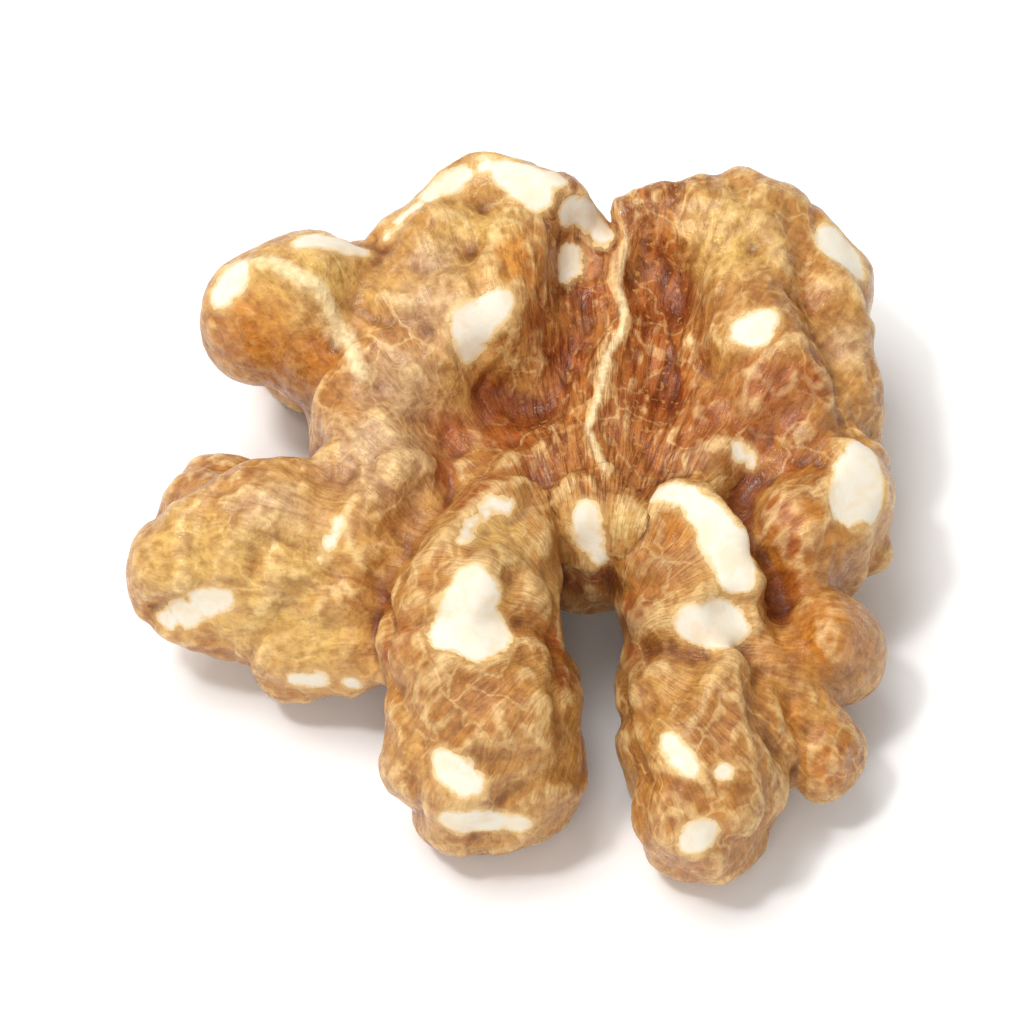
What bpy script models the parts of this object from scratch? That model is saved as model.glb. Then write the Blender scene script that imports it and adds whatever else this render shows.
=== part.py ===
"""Half of a walnut's kernel, as it comes out of the cracked shell: one seed leaf of two wrinkled wings.

The wings are joined by a broad bridge, and a deep cleft parts them into two legs at the front.
The kernel lies with its domed outer face up, on the low ends of its lobes. X runs across the wings,
Y from the legs to the pointed end, and Z up.
"""

import bmesh
import bpy
import numpy as np

MM = 0.001

# The real size of the half, in millimetres.
WIDTH_MM = 32.0
LENGTH_MM = 31.5
HEIGHT_MM = 13.2
FOOT_WEAR_MM = 0.2  # how much of each foot's round underside is rubbed flat

# The places (x, y) of the three lobe ends that touch the floor, and how far around each a foot reaches.
FEET = [(-1.5, -9.0), (-8.8, 11.4), (10.4, 10.4)]
FOOT_REACH_MM = 3.5
LEVEL_ROUNDS = 3

# The skin's relief: depths, heights and spacings in millimetres. A low softness makes narrow lines.
SWELL_MM = 0.24  # how far the flesh swells out between the furrows
FURROW_MM = 0.50
FURROW_SPACING_MM = 7.2
FURROW_SOFTNESS = 0.26
CREASE_MM = 0.28
CREASE_SPACING_MM = 3.6
CREASE_SOFTNESS = 0.30
DEPTH_LIMIT_MM = 0.8  # the depth that crossing furrows and creases never quite reach
LUMP_MM = 0.12
LUMP_SPACING_MM = 2.8
CREASED_AREA_MM = 11.0  # how far apart the creased areas of the skin lie
CREASED_BETWEEN = (-0.9, 0.7)  # wave heights at which an area starts to be creased and is fully creased
UPRIGHT_BETWEEN = (0.2, 0.6)  # upward parts of the way the skin faces, between which it stops being upright
UPRIGHT_GAIN = 1.3  # how much deeper furrows and creases are in upright skin
WAVE_COUNT = 28  # how many plain waves make one wandering value
SKIN_SMOOTHING_ROUNDS = 2

# The smooth, swollen lobes as balls (x, y, z, radius), and the share of the relief they lack.
SMOOTH_LOBES = [(12.9, -5.2, 5.2, 3.2), (-9.8, 9.1, 7.4, 3.9)]
SMOOTH_LOBE_EDGE_MM = 1.3  # how far past such a ball the relief is whole again
SMOOTH_LOBE_LOSS = 0.85

# How the lines and the lobes wander: (spacing, amount) in millimetres.
FURROW_BEND = (7.0, 0.7)
CREASE_BEND = (3.0, 0.3)
LUMP_BEND = (4.0, 0.4)
LINE_BEND = (4.0, 0.25)
LOBE_BENDS = [(12.0, 0.30), (5.0, 0.12)]

# The sunken valley along the middle of the outer face, in millimetres.
VALLEY_X_MM = 4.2
VALLEY_HALF_WIDTH_MM = 3.4
VALLEY_FRONT_MM = (-3.0, 1.0)
VALLEY_DEPTH_MM = (5.5, 7.5)
VALLEY_FURROW_LOSS = 0.8  # share of the furrows' depth that is missing in the valley
VALLEY_LUMP_LOSS = 0.6

# The relief fades out between these heights, so that the feet stay round.
SMOOTH_FOOT_MM = (0.2, 1.6)

# Starting numbers of the chance in each kind of relief.
SEEDS = {
    "lobes": (11, 21),
    "lumps": (31, 35),
    "furrows": (41, 51),
    "creases": (61, 71),
    "creased": 151,
    "lines": 91,
}

# How finely the fused lobes are meshed, and how many triangles the finished solid keeps.
VOXEL_MM = 0.25
JOINT_ROUNDING_MM2 = 0.45
BALL_SUBDIVISIONS = 3
SOLID_TRIANGLES = 11800

SKIN_COLOUR = (0.45, 0.22, 0.08, 1)
SKIN_ROUGHNESS = 0.5

# Each lobe is a row of balls (x, y, z, radius) in millimetres. A fold is a row of balls, stretched
# over two at a time. A slab is stretched over all its balls at once.
SLABS = {
    "bridge": [(-4.0, 9.5, 6.1, 2.2), (-4.0, 0.5, 5.8, 2.2), (6.5, 10.5, 6.1, 2.2), (6.5, 0.5, 5.8, 2.2)],
    "bridge_rear": [(-3.0, 12.0, 6.0, 2.6), (8.0, 12.2, 6.0, 2.6), (2.0, 6.0, 5.9, 2.2)],
    "left_wing": [
        (-4.5, 9.0, 6.4, 2.7), (-4.4, -1.0, 6.2, 2.7), (-6.2, 5.0, 5.8, 2.4), (-6.5, -0.5, 5.6, 2.6),
    ],
    "right_wing": [
        (8.6, 11.0, 6.4, 2.6), (12.4, 9.5, 6.0, 2.3), (12.6, 1.5, 5.6, 2.4), (8.4, -1.0, 5.8, 2.6),
    ],
    "leg_to_tail": [(8.6, -6.6, 4.6, 2.2), (11.2, -7.8, 4.0, 1.3), (9.2, -9.8, 3.2, 2.0)],
}
FOLDS = {
    "left_leg": [(-0.8, -1.9, 6.0, 3.1), (-1.6, -6.2, 5.9, 4.2), (-1.5, -9.6, 4.1, 4.4)],
    "right_leg": [(7.4, -1.4, 6.5, 2.9), (7.8, -6.4, 5.7, 3.3), (7.8, -11.2, 4.1, 3.6)],
    "tail": [(10.4, -6.8, 5.8, 1.5), (11.6, -8.8, 4.7, 1.7), (12.9, -9.9, 3.4, 1.7)],
    "ball": [(11.4, -3.6, 5.4, 2.4), (12.9, -5.2, 5.0, 2.7)],
    "right_shoulder": [(11.2, -0.9, 6.6, 2.6), (13.6, 1.4, 6.3, 2.7), (13.8, 0.4, 4.2, 2.3)],
    "right_edge": [(13.4, 4.4, 5.4, 2.1), (13.4, 7.2, 6.6, 2.2), (12.8, 10.6, 7.0, 2.4)],
    "right_top": [(12.8, 12.3, 7.0, 2.4), (8.8, 13.8, 8.0, 2.8), (6.8, 13.6, 8.0, 2.1)],
    "right_crest": [(10.0, 10.2, 8.2, 2.3), (10.4, 7.2, 8.4, 2.5), (11.6, 4.0, 7.4, 2.4)],
    "left_top": [
        (-4.2, 11.6, 7.6, 2.8), (-1.4, 14.2, 8.0, 2.9), (1.4, 14.2, 8.2, 2.1), (3.1, 13.7, 7.2, 1.6),
    ],
    "left_crest": [(-0.2, 10.6, 8.8, 2.2), (-1.7, 7.4, 9.0, 2.6), (-3.6, 5.6, 8.0, 2.4)],
    "left_dome": [(-2.6, 11.2, 8.4, 2.6), (-3.8, 8.4, 8.4, 2.7), (-4.4, 5.8, 7.8, 2.8)],
    "left_slope": [(0.9, 9.6, 7.1, 2.4), (-0.4, 5.4, 6.5, 2.2)],
    "left_flank": [(-4.4, 8.4, 7.6, 2.6), (-5.7, 4.4, 6.7, 2.9), (-5.4, 0.6, 6.8, 3.1)],
    "high_finger": [(-5.6, 9.6, 7.6, 3.1), (-8.0, 9.8, 7.7, 3.3), (-11.0, 9.2, 7.1, 2.5)],
    "high_finger_belly": [(-9.2, 8.8, 7.0, 2.6), (-6.4, 7.2, 6.9, 2.6)],
    "low_finger": [(-5.6, -1.6, 6.0, 3.3), (-9.6, -1.8, 5.2, 3.9), (-12.8, -2.4, 4.4, 2.7)],
    "low_finger_front": [(-6.4, -4.0, 4.8, 2.6), (-9.2, -4.5, 4.0, 2.5)],
    "low_finger_back": [(-8.6, 0.8, 4.4, 2.6), (-11.8, 1.3, 4.3, 2.5)],
    "rear_left_foot": [(-4.4, 13.2, 5.0, 2.7), (-8.8, 12.0, 3.1, 3.1), (-7.4, 10.4, 4.4, 2.4)],
    "rear_right_foot": [(8.0, 12.4, 4.6, 2.8), (10.6, 11.0, 3.2, 3.3)],
    "rear_rim": [
        (-5.0, 12.8, 4.8, 2.5), (-0.5, 14.0, 4.6, 2.4), (4.0, 14.2, 5.0, 2.2), (8.0, 13.6, 4.8, 2.4),
    ],
    "right_hem": [
        (11.4, 10.6, 3.8, 2.6), (12.8, 6.6, 4.0, 2.4), (12.8, 2.6, 3.6, 2.4), (11.4, -2.2, 3.4, 2.3),
    ],
    "left_hem": [(-7.4, 10.4, 4.4, 2.4), (-6.2, 5.2, 4.8, 2.2), (-6.8, 1.6, 3.6, 2.4)],
    "left_inner_fold": [(-1.8, 10.4, 4.6, 2.2), (-2.8, 5.6, 4.2, 2.1), (-2.2, 0.6, 4.4, 2.3)],
    "right_inner_fold": [(7.6, 9.4, 4.6, 2.2), (8.6, 4.8, 4.2, 2.1), (8.0, 0.2, 4.4, 2.2)],
    "point": [(3.8, 12.6, 6.6, 1.9), (3.9, 15.0, 5.6, 1.5)],
    "cleft_web": [(3.4, 1.0, 5.8, 2.3), (3.6, -1.4, 5.3, 2.0)],
    "knob": [(3.5, -0.8, 7.4, 1.7), (3.9, -2.0, 7.2, 1.8)],
}

# Ridges and grooves of the outer face: (height, half width, places (x, y) along it), in millimetres.
# A negative height is a groove. They stand out where the skin faces up, between these parts of the way.
LINES_FACING_UP = (0.0, 0.5)
OUTER_LINES = {
    "midline": (0.55, 0.33, [(4.6, 15.0), (4.7, 11.0), (4.4, 7.6), (3.8, 4.9), (3.1, 2.4), (3.3, -0.4)]),
    "left_of_midline": (-0.5, 1.0, [(2.9, 12.6), (2.6, 7.4), (0.8, 3.2)]),
    "right_of_midline": (-0.5, 1.0, [(6.2, 12.4), (6.3, 6.8), (5.8, 2.4)]),
    "pit": (-0.9, 1.3, [(0.3, 5.0), (-1.0, 4.3)]),
    "knob_split": (-0.45, 0.35, [(3.75, -1.2), (3.55, -2.4), (3.4, -4.0)]),
    "left_leg_arch": (0.5, 0.5, [(-2.6, -4.4), (-2.0, -2.9), (-1.2, -1.7), (0.2, -0.9), (1.8, -1.2)]),
    "left_leg_brow": (0.35, 1.0, [(-3.4, -6.0), (-1.4, -6.4), (0.8, -6.0)]),
    "left_leg_step": (-0.6, 0.6, [(-5.2, -7.0), (-3.2, -8.0), (-1.0, -8.1), (1.6, -7.4)]),
    "left_leg_side": (-0.5, 0.9, [(-4.2, -1.2), (-5.4, -4.0), (-6.0, -6.4)]),
    "right_leg_arch": (0.8, 0.8, [(5.6, -1.6), (6.9, -0.6), (8.3, -1.8), (9.3, -4.2)]),
    "right_leg_brow": (0.3, 0.9, [(6.6, -6.0), (9.0, -6.0)]),
    "right_leg_step": (-0.6, 0.6, [(5.2, -7.4), (7.2, -7.9), (9.4, -7.2)]),
    "right_leg_notch": (-1.0, 0.8, [(9.4, 0.8), (10.2, -1.6), (10.9, -4.0)]),
    "tail_side": (-0.7, 0.5, [(9.0, -5.6), (9.9, -8.4), (10.8, -11.0)]),
    "ball_side": (-0.5, 0.5, [(11.2, -4.8), (12.8, -7.2), (14.0, -8.2)]),
    "high_finger_seam": (0.35, 0.35, [(-11.8, 9.9), (-9.6, 8.4), (-7.0, 6.7), (-6.3, 4.6)]),
    "high_finger_root": (-0.5, 0.9, [(-6.4, 11.4), (-6.6, 8.8), (-7.4, 6.8)]),
    "left_dome_side": (-0.45, 1.0, [(-5.6, 7.2), (-5.0, 4.4), (-2.8, 2.4)]),
    "finger_root": (-0.4, 0.8, [(-6.6, 1.6), (-7.6, -1.0), (-7.4, -3.6)]),
    "low_finger_crease": (-0.45, 0.6, [(-8.2, -3.0), (-10.6, -3.4), (-12.0, -4.6)]),
    "shoulder_side": (-0.5, 0.7, [(10.4, 2.6), (12.4, 3.6), (14.6, 3.6)]),
}


def clear_scene():
    for obj in list(bpy.data.objects):
        bpy.data.objects.remove(obj)


def add_hull(target, balls):
    """Adds the rounded solid that stretches over a few balls to a bmesh."""
    hull = bmesh.new()
    for x, y, z, radius in balls:
        made = bmesh.ops.create_icosphere(hull, subdivisions=BALL_SUBDIVISIONS, radius=radius * MM)
        bmesh.ops.translate(hull, verts=made["verts"], vec=(x * MM, y * MM, z * MM))
    found = bmesh.ops.convex_hull(hull, input=hull.verts)
    buried = {e for e in found["geom_interior"] + found["geom_unused"] if isinstance(e, bmesh.types.BMVert)}
    bmesh.ops.delete(hull, geom=list(buried), context="VERTS")
    mesh = bpy.data.meshes.new("hull")
    hull.to_mesh(mesh)
    hull.free()
    target.from_mesh(mesh)
    bpy.data.meshes.remove(mesh)


def lobes_mesh():
    """All the lobes as overlapping closed hulls in one mesh."""
    lobes = bmesh.new()
    for balls in SLABS.values():
        add_hull(lobes, balls)
    for balls in FOLDS.values():
        for pair in zip(balls, balls[1:]):
            add_hull(lobes, pair)
    mesh = bpy.data.meshes.new("lobes")
    lobes.to_mesh(mesh)
    lobes.free()
    return mesh


def points_of(mesh):
    """The mesh's points in millimetres, one row each."""
    flat = np.empty(len(mesh.vertices) * 3, np.float32)
    mesh.vertices.foreach_get("co", flat)
    return flat.reshape(-1, 3).astype(float) / MM


def set_points(mesh, points):
    mesh.vertices.foreach_set("co", (points * MM).astype(np.float32).ravel())
    mesh.update()


def normals_of(mesh):
    flat = np.empty(len(mesh.vertices) * 3, np.float32)
    mesh.vertices.foreach_get("normal", flat)
    return flat.reshape(-1, 3).astype(float)


def edges_of(mesh):
    flat = np.empty(len(mesh.edges) * 2, np.int32)
    mesh.edges.foreach_get("vertices", flat)
    return flat.reshape(-1, 2)


def smoothed(points, edges, rounds):
    """Moves every point halfway to the middle of its neighbours, a number of times."""
    first, second = edges.T
    size = len(points)
    neighbours = np.bincount(edges.ravel(), minlength=size)
    for _ in range(rounds):
        sums = [
            np.bincount(first, axis[second], size) + np.bincount(second, axis[first], size)
            for axis in points.T
        ]
        points = 0.5 * (points + np.stack(sums, 1) / neighbours[:, None])
    return points


def waves(points, spacing, seed):
    """A smooth wandering value around 0 that changes its sign every half spacing or so."""
    chance = np.random.default_rng(seed)
    directions = chance.normal(size=(WAVE_COUNT, 3))
    directions /= np.linalg.norm(directions, axis=1)[:, None]
    phases = chance.uniform(0, 2 * np.pi, WAVE_COUNT)
    return np.cos(points @ directions.T * (2 * np.pi / spacing) + phases).sum(1) * np.sqrt(2 / WAVE_COUNT)


def bent(points, spacing, amount, seed):
    """The points moved about gently, so that straight forms wander as grown ones do."""
    return points + amount * np.stack([waves(points, spacing, seed + axis) for axis in range(3)], 1)


def ramp(low, high, value):
    """Rises softly from 0 at low to 1 at high."""
    share = np.clip((value - low) / (high - low), 0, 1)
    return share * share * (3 - 2 * share)


def distance_to_line(points, places):
    """How far each point lies from a bent line, seen from above."""
    nearest = np.full(len(points), np.inf)
    for start, end in zip(np.array(places), np.array(places)[1:]):
        along = end - start
        share = np.clip((points[:, :2] - start) @ along / (along @ along), 0, 1)
        gap = points[:, :2] - start - share[:, None] * along
        nearest = np.minimum(nearest, np.linalg.norm(gap, axis=1))
    return nearest


def folded_lines(points, bend, spacing, softness, seeds):
    """1 along a net of wandering lines, falling to 0 between them."""
    return np.exp(-np.abs(waves(bent(points, *bend, seeds[0]), spacing, seeds[1])) / softness)


def valley_share(points):
    """1 in the sunken middle of the outer face, 0 outside it."""
    x, y, z = points.T
    off_middle = (x - VALLEY_X_MM) / VALLEY_HALF_WIDTH_MM
    return np.exp(-off_middle ** 2) * ramp(*VALLEY_FRONT_MM, y) * ramp(*VALLEY_DEPTH_MM, z)


def smooth_share(points):
    """1 on the smooth lobes, falling to 0 past them."""
    share = np.zeros(len(points))
    for x, y, z, radius in SMOOTH_LOBES:
        distance = np.linalg.norm(points - (x, y, z), axis=1)
        share = np.maximum(share, ramp(radius + SMOOTH_LOBE_EDGE_MM, radius, distance))
    return share


def furrow_depth(points, valley, upright):
    """The depth of the net of furrows, and of the finer creases in the creased areas."""
    furrows = folded_lines(points, FURROW_BEND, FURROW_SPACING_MM, FURROW_SOFTNESS, SEEDS["furrows"])
    creases = folded_lines(points, CREASE_BEND, CREASE_SPACING_MM, CREASE_SOFTNESS, SEEDS["creases"])
    creased = ramp(*CREASED_BETWEEN, waves(points, CREASED_AREA_MM, SEEDS["creased"]))
    depth = FURROW_MM * furrows * (1 - VALLEY_FURROW_LOSS * valley) + CREASE_MM * creases * creased
    depth *= 1 + UPRIGHT_GAIN * upright
    return DEPTH_LIMIT_MM * (1 - np.exp(-depth / DEPTH_LIMIT_MM))


def outer_lines_height(points, normals):
    """The height of the outer face's ridges and grooves."""
    wandering = bent(points, *LINE_BEND, SEEDS["lines"])
    height = np.zeros(len(points))
    for line_height, half_width, places in OUTER_LINES.values():
        height += line_height * np.exp(-((distance_to_line(wandering, places) / half_width) ** 2))
    return height * ramp(*LINES_FACING_UP, normals[:, 2])


def relief_height(points, normals):
    """How far the skin stands out at each point."""
    valley = valley_share(points)
    upright = 1 - ramp(*UPRIGHT_BETWEEN, np.abs(normals[:, 2]))
    lumps = waves(bent(points, *LUMP_BEND, SEEDS["lumps"][0]), LUMP_SPACING_MM, SEEDS["lumps"][1])
    marked = 1 - SMOOTH_LOBE_LOSS * smooth_share(points)
    height = SWELL_MM - furrow_depth(points, valley, upright) * marked
    height += LUMP_MM * lumps * (1 - VALLEY_LUMP_LOSS * valley) * marked
    height += outer_lines_height(points, normals)
    return height * ramp(*SMOOTH_FOOT_MM, points[:, 2])


def apply_modifiers(obj):
    graph = bpy.context.evaluated_depsgraph_get()
    made = bpy.data.meshes.new_from_object(obj.evaluated_get(graph))
    obj.modifiers.clear()
    old = obj.data
    obj.data = made
    bpy.data.meshes.remove(old)


def fuse(obj):
    """Fuses everything in the object into one closed skin of even squares."""
    remesh = obj.modifiers.new("Fuse", "REMESH")
    remesh.mode = "VOXEL"
    remesh.voxel_size = VOXEL_MM * MM
    apply_modifiers(obj)


def wrinkle(obj):
    """Rounds the joints between the lobes, then presses the furrows and raises the ridges."""
    edges = edges_of(obj.data)
    points = smoothed(points_of(obj.data), edges, int(round(JOINT_ROUNDING_MM2 / VOXEL_MM ** 2)))
    for bend, seed in zip(LOBE_BENDS, SEEDS["lobes"]):
        points = bent(points, *bend, seed)
    set_points(obj.data, points)
    normals = normals_of(obj.data)
    points = points + normals * relief_height(points, normals)[:, None]
    set_points(obj.data, smoothed(points, edges, SKIN_SMOOTHING_ROUNDS))


def thin(obj):
    """Keeps only as many triangles as the solid needs."""
    decimate = obj.modifiers.new("Thin", "DECIMATE")
    triangles = sum(len(face.vertices) - 2 for face in obj.data.polygons)
    decimate.ratio = SOLID_TRIANGLES / triangles
    decimate.use_collapse_triangulate = True
    apply_modifiers(obj)


def lowest_near(points, place):
    near = points[np.linalg.norm(points[:, :2] - place, axis=1) < FOOT_REACH_MM]
    return near[near[:, 2].argmin()]


def levelled(points):
    """Tips the half until its three feet touch the floor together."""
    for _ in range(LEVEL_ROUNDS):
        touching = np.array([lowest_near(points, place) for place in FEET])
        slope_x, slope_y, lift = np.linalg.solve(np.c_[touching[:, :2], np.ones(3)], touching[:, 2])
        points[:, 2] -= slope_x * points[:, 0] + slope_y * points[:, 1] + lift
    return points


def fit_to_size(obj):
    """Gives the half its real size and stands it on worn feet, centred over the floor's zero."""
    points = levelled(points_of(obj.data))
    low, high = points.min(0), points.max(0)
    middle = (low + high) / 2
    points[:, :2] = (points - middle)[:, :2] * (WIDTH_MM, LENGTH_MM) / (high - low)[:2]
    points[:, 2] = points[:, 2] * (HEIGHT_MM + FOOT_WEAR_MM) / high[2] - FOOT_WEAR_MM
    points[:, 2] = np.maximum(points[:, 2], 0)
    set_points(obj.data, points)


def skin_material():
    """The brown papery skin of the kernel."""
    material = bpy.data.materials.new("walnut_skin")
    material.use_nodes = True
    shader = material.node_tree.nodes["Principled BSDF"]
    shader.inputs["Base Color"].default_value = SKIN_COLOUR
    shader.inputs["Metallic"].default_value = 0.0
    shader.inputs["Roughness"].default_value = SKIN_ROUGHNESS
    return material


def build_kernel():
    kernel = bpy.data.objects.new("kernel", lobes_mesh())
    bpy.context.scene.collection.objects.link(kernel)
    fuse(kernel)
    wrinkle(kernel)
    fuse(kernel)
    thin(kernel)
    fit_to_size(kernel)
    kernel.data.name = "kernel"
    kernel.data.materials.clear()
    kernel.data.materials.append(skin_material())


clear_scene()
build_kernel()
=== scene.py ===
"""A shelled walnut kernel half on a white table top, seen from its front and above."""

import math

import bmesh
import bpy
import numpy as np
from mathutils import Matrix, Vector


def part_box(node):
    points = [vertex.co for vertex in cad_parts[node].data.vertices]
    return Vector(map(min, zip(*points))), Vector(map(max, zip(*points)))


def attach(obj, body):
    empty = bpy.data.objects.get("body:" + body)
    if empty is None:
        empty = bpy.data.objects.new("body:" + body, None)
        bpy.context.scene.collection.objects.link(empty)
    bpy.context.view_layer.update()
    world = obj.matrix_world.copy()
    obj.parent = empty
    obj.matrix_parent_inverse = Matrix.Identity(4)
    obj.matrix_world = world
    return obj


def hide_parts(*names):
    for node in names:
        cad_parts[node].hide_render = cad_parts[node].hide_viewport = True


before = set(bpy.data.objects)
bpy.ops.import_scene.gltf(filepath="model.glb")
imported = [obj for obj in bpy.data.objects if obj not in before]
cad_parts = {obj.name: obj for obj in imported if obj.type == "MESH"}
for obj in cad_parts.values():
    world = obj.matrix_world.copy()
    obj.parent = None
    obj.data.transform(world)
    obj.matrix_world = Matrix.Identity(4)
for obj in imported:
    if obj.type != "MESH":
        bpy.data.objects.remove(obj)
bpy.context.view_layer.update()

# The kernel half is one seed leaf of the nut, grown in folds inside the shell and covered by a papery
# brown skin with fine veins. Two wings hang on a bridge, and a cleft parts them into two legs. Cracking
# the shell rubbed the skin off the highest folds, where the cream-white meat shows as flat worn patches.
MM = 0.001
kernel_low, kernel_high = (np.array(corner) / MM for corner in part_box("kernel"))

# Its lobes as balls (x, y, z, radius) in millimetres. A slab is stretched over all its balls at once, a
# fold over two at a time.
SLABS = {
    "bridge": [(-4.0, 9.5, 6.1, 2.2), (-4.0, 0.5, 5.8, 2.2), (6.5, 10.5, 6.1, 2.2), (6.5, 0.5, 5.8, 2.2)],
    "bridge_rear": [(-3.0, 12.0, 6.0, 2.6), (8.0, 12.2, 6.0, 2.6), (2.0, 6.0, 5.9, 2.2)],
    "left_wing": [
        (-4.5, 9.0, 6.4, 2.7), (-4.4, -1.0, 6.2, 2.7), (-6.2, 5.0, 5.8, 2.4), (-6.5, -0.5, 5.6, 2.6),
    ],
    "right_wing": [
        (8.6, 11.0, 6.4, 2.6), (12.4, 9.5, 6.0, 2.3), (12.6, 1.5, 5.6, 2.4), (8.4, -1.0, 5.8, 2.6),
    ],
    "leg_to_tail": [(8.6, -6.6, 4.6, 2.2), (11.2, -7.8, 4.0, 1.3), (9.2, -9.8, 3.2, 2.0)],
}
FOLDS = {
    "left_leg": [(-0.8, -1.9, 6.0, 3.1), (-1.6, -6.2, 5.9, 4.2), (-1.5, -9.6, 4.1, 4.4)],
    "right_leg": [(7.4, -1.4, 6.5, 2.9), (7.8, -6.4, 5.7, 3.3), (7.8, -11.2, 4.1, 3.6)],
    "tail": [(10.4, -6.8, 5.8, 1.5), (11.6, -8.8, 4.7, 1.7), (12.9, -9.9, 3.4, 1.7)],
    "ball": [(11.4, -3.6, 5.4, 2.4), (12.9, -5.2, 5.0, 2.7)],
    "right_shoulder": [(11.2, -0.9, 6.6, 2.6), (13.6, 1.4, 6.3, 2.7), (13.8, 0.4, 4.2, 2.3)],
    "right_edge": [(13.4, 4.4, 5.4, 2.1), (13.4, 7.2, 6.6, 2.2), (12.8, 10.6, 7.0, 2.4)],
    "right_top": [(12.8, 12.3, 7.0, 2.4), (8.8, 13.8, 8.0, 2.8), (6.8, 13.6, 8.0, 2.1)],
    "right_crest": [(10.0, 10.2, 8.2, 2.3), (10.4, 7.2, 8.4, 2.5), (11.6, 4.0, 7.4, 2.4)],
    "left_top": [
        (-4.2, 11.6, 7.6, 2.8), (-1.4, 14.2, 8.0, 2.9), (1.4, 14.2, 8.2, 2.1), (3.1, 13.7, 7.2, 1.6),
    ],
    "left_crest": [(-0.2, 10.6, 8.8, 2.2), (-1.7, 7.4, 9.0, 2.6), (-3.6, 5.6, 8.0, 2.4)],
    "left_dome": [(-2.6, 11.2, 8.4, 2.6), (-3.8, 8.4, 8.4, 2.7), (-4.4, 5.8, 7.8, 2.8)],
    "left_slope": [(0.9, 9.6, 7.1, 2.4), (-0.4, 5.4, 6.5, 2.2)],
    "left_flank": [(-4.4, 8.4, 7.6, 2.6), (-5.7, 4.4, 6.7, 2.9), (-5.4, 0.6, 6.8, 3.1)],
    "high_finger": [(-5.6, 9.6, 7.6, 3.1), (-8.0, 9.8, 7.7, 3.3), (-11.0, 9.2, 7.1, 2.5)],
    "high_finger_belly": [(-9.2, 8.8, 7.0, 2.6), (-6.4, 7.2, 6.9, 2.6)],
    "low_finger": [(-5.6, -1.6, 6.0, 3.3), (-9.6, -1.8, 5.2, 3.9), (-12.8, -2.4, 4.4, 2.7)],
    "low_finger_front": [(-6.4, -4.0, 4.8, 2.6), (-9.2, -4.5, 4.0, 2.5)],
    "low_finger_back": [(-8.6, 0.8, 4.4, 2.6), (-11.8, 1.3, 4.3, 2.5)],
    "rear_left_foot": [(-4.4, 13.2, 5.0, 2.7), (-8.8, 12.0, 3.1, 3.1), (-7.4, 10.4, 4.4, 2.4)],
    "rear_right_foot": [(8.0, 12.4, 4.6, 2.8), (10.6, 11.0, 3.2, 3.3)],
    "rear_rim": [
        (-5.0, 12.8, 4.8, 2.5), (-0.5, 14.0, 4.6, 2.4), (4.0, 14.2, 5.0, 2.2), (8.0, 13.6, 4.8, 2.4),
    ],
    "right_hem": [
        (11.4, 10.6, 3.8, 2.6), (12.8, 6.6, 4.0, 2.4), (12.8, 2.6, 3.6, 2.4), (11.4, -2.2, 3.4, 2.3),
    ],
    "left_hem": [(-7.4, 10.4, 4.4, 2.4), (-6.2, 5.2, 4.8, 2.2), (-6.8, 1.6, 3.6, 2.4)],
    "left_inner_fold": [(-1.8, 10.4, 4.6, 2.2), (-2.8, 5.6, 4.2, 2.1), (-2.2, 0.6, 4.4, 2.3)],
    "right_inner_fold": [(7.6, 9.4, 4.6, 2.2), (8.6, 4.8, 4.2, 2.1), (8.0, 0.2, 4.4, 2.2)],
    "point": [(3.8, 12.6, 6.6, 1.9), (3.9, 15.0, 5.6, 1.5)],
    "cleft_web": [(3.4, 1.0, 5.8, 2.3), (3.6, -1.4, 5.3, 2.0)],
    "knob": [(3.5, -0.8, 7.4, 1.7), (3.9, -2.0, 7.2, 1.8)],
}

# The two swollen lobes that hardly wrinkle, as balls again, how far past them the wrinkles are whole, and
# the share of the wrinkles' depth that they lack.
SMOOTH_LOBES = [(12.9, -5.2, 5.2, 3.2), (-9.8, 9.1, 7.4, 3.9)]
SMOOTH_LOBE_EDGE_MM = 1.3
SMOOTH_LOBE_LOSS = 0.85

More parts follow.
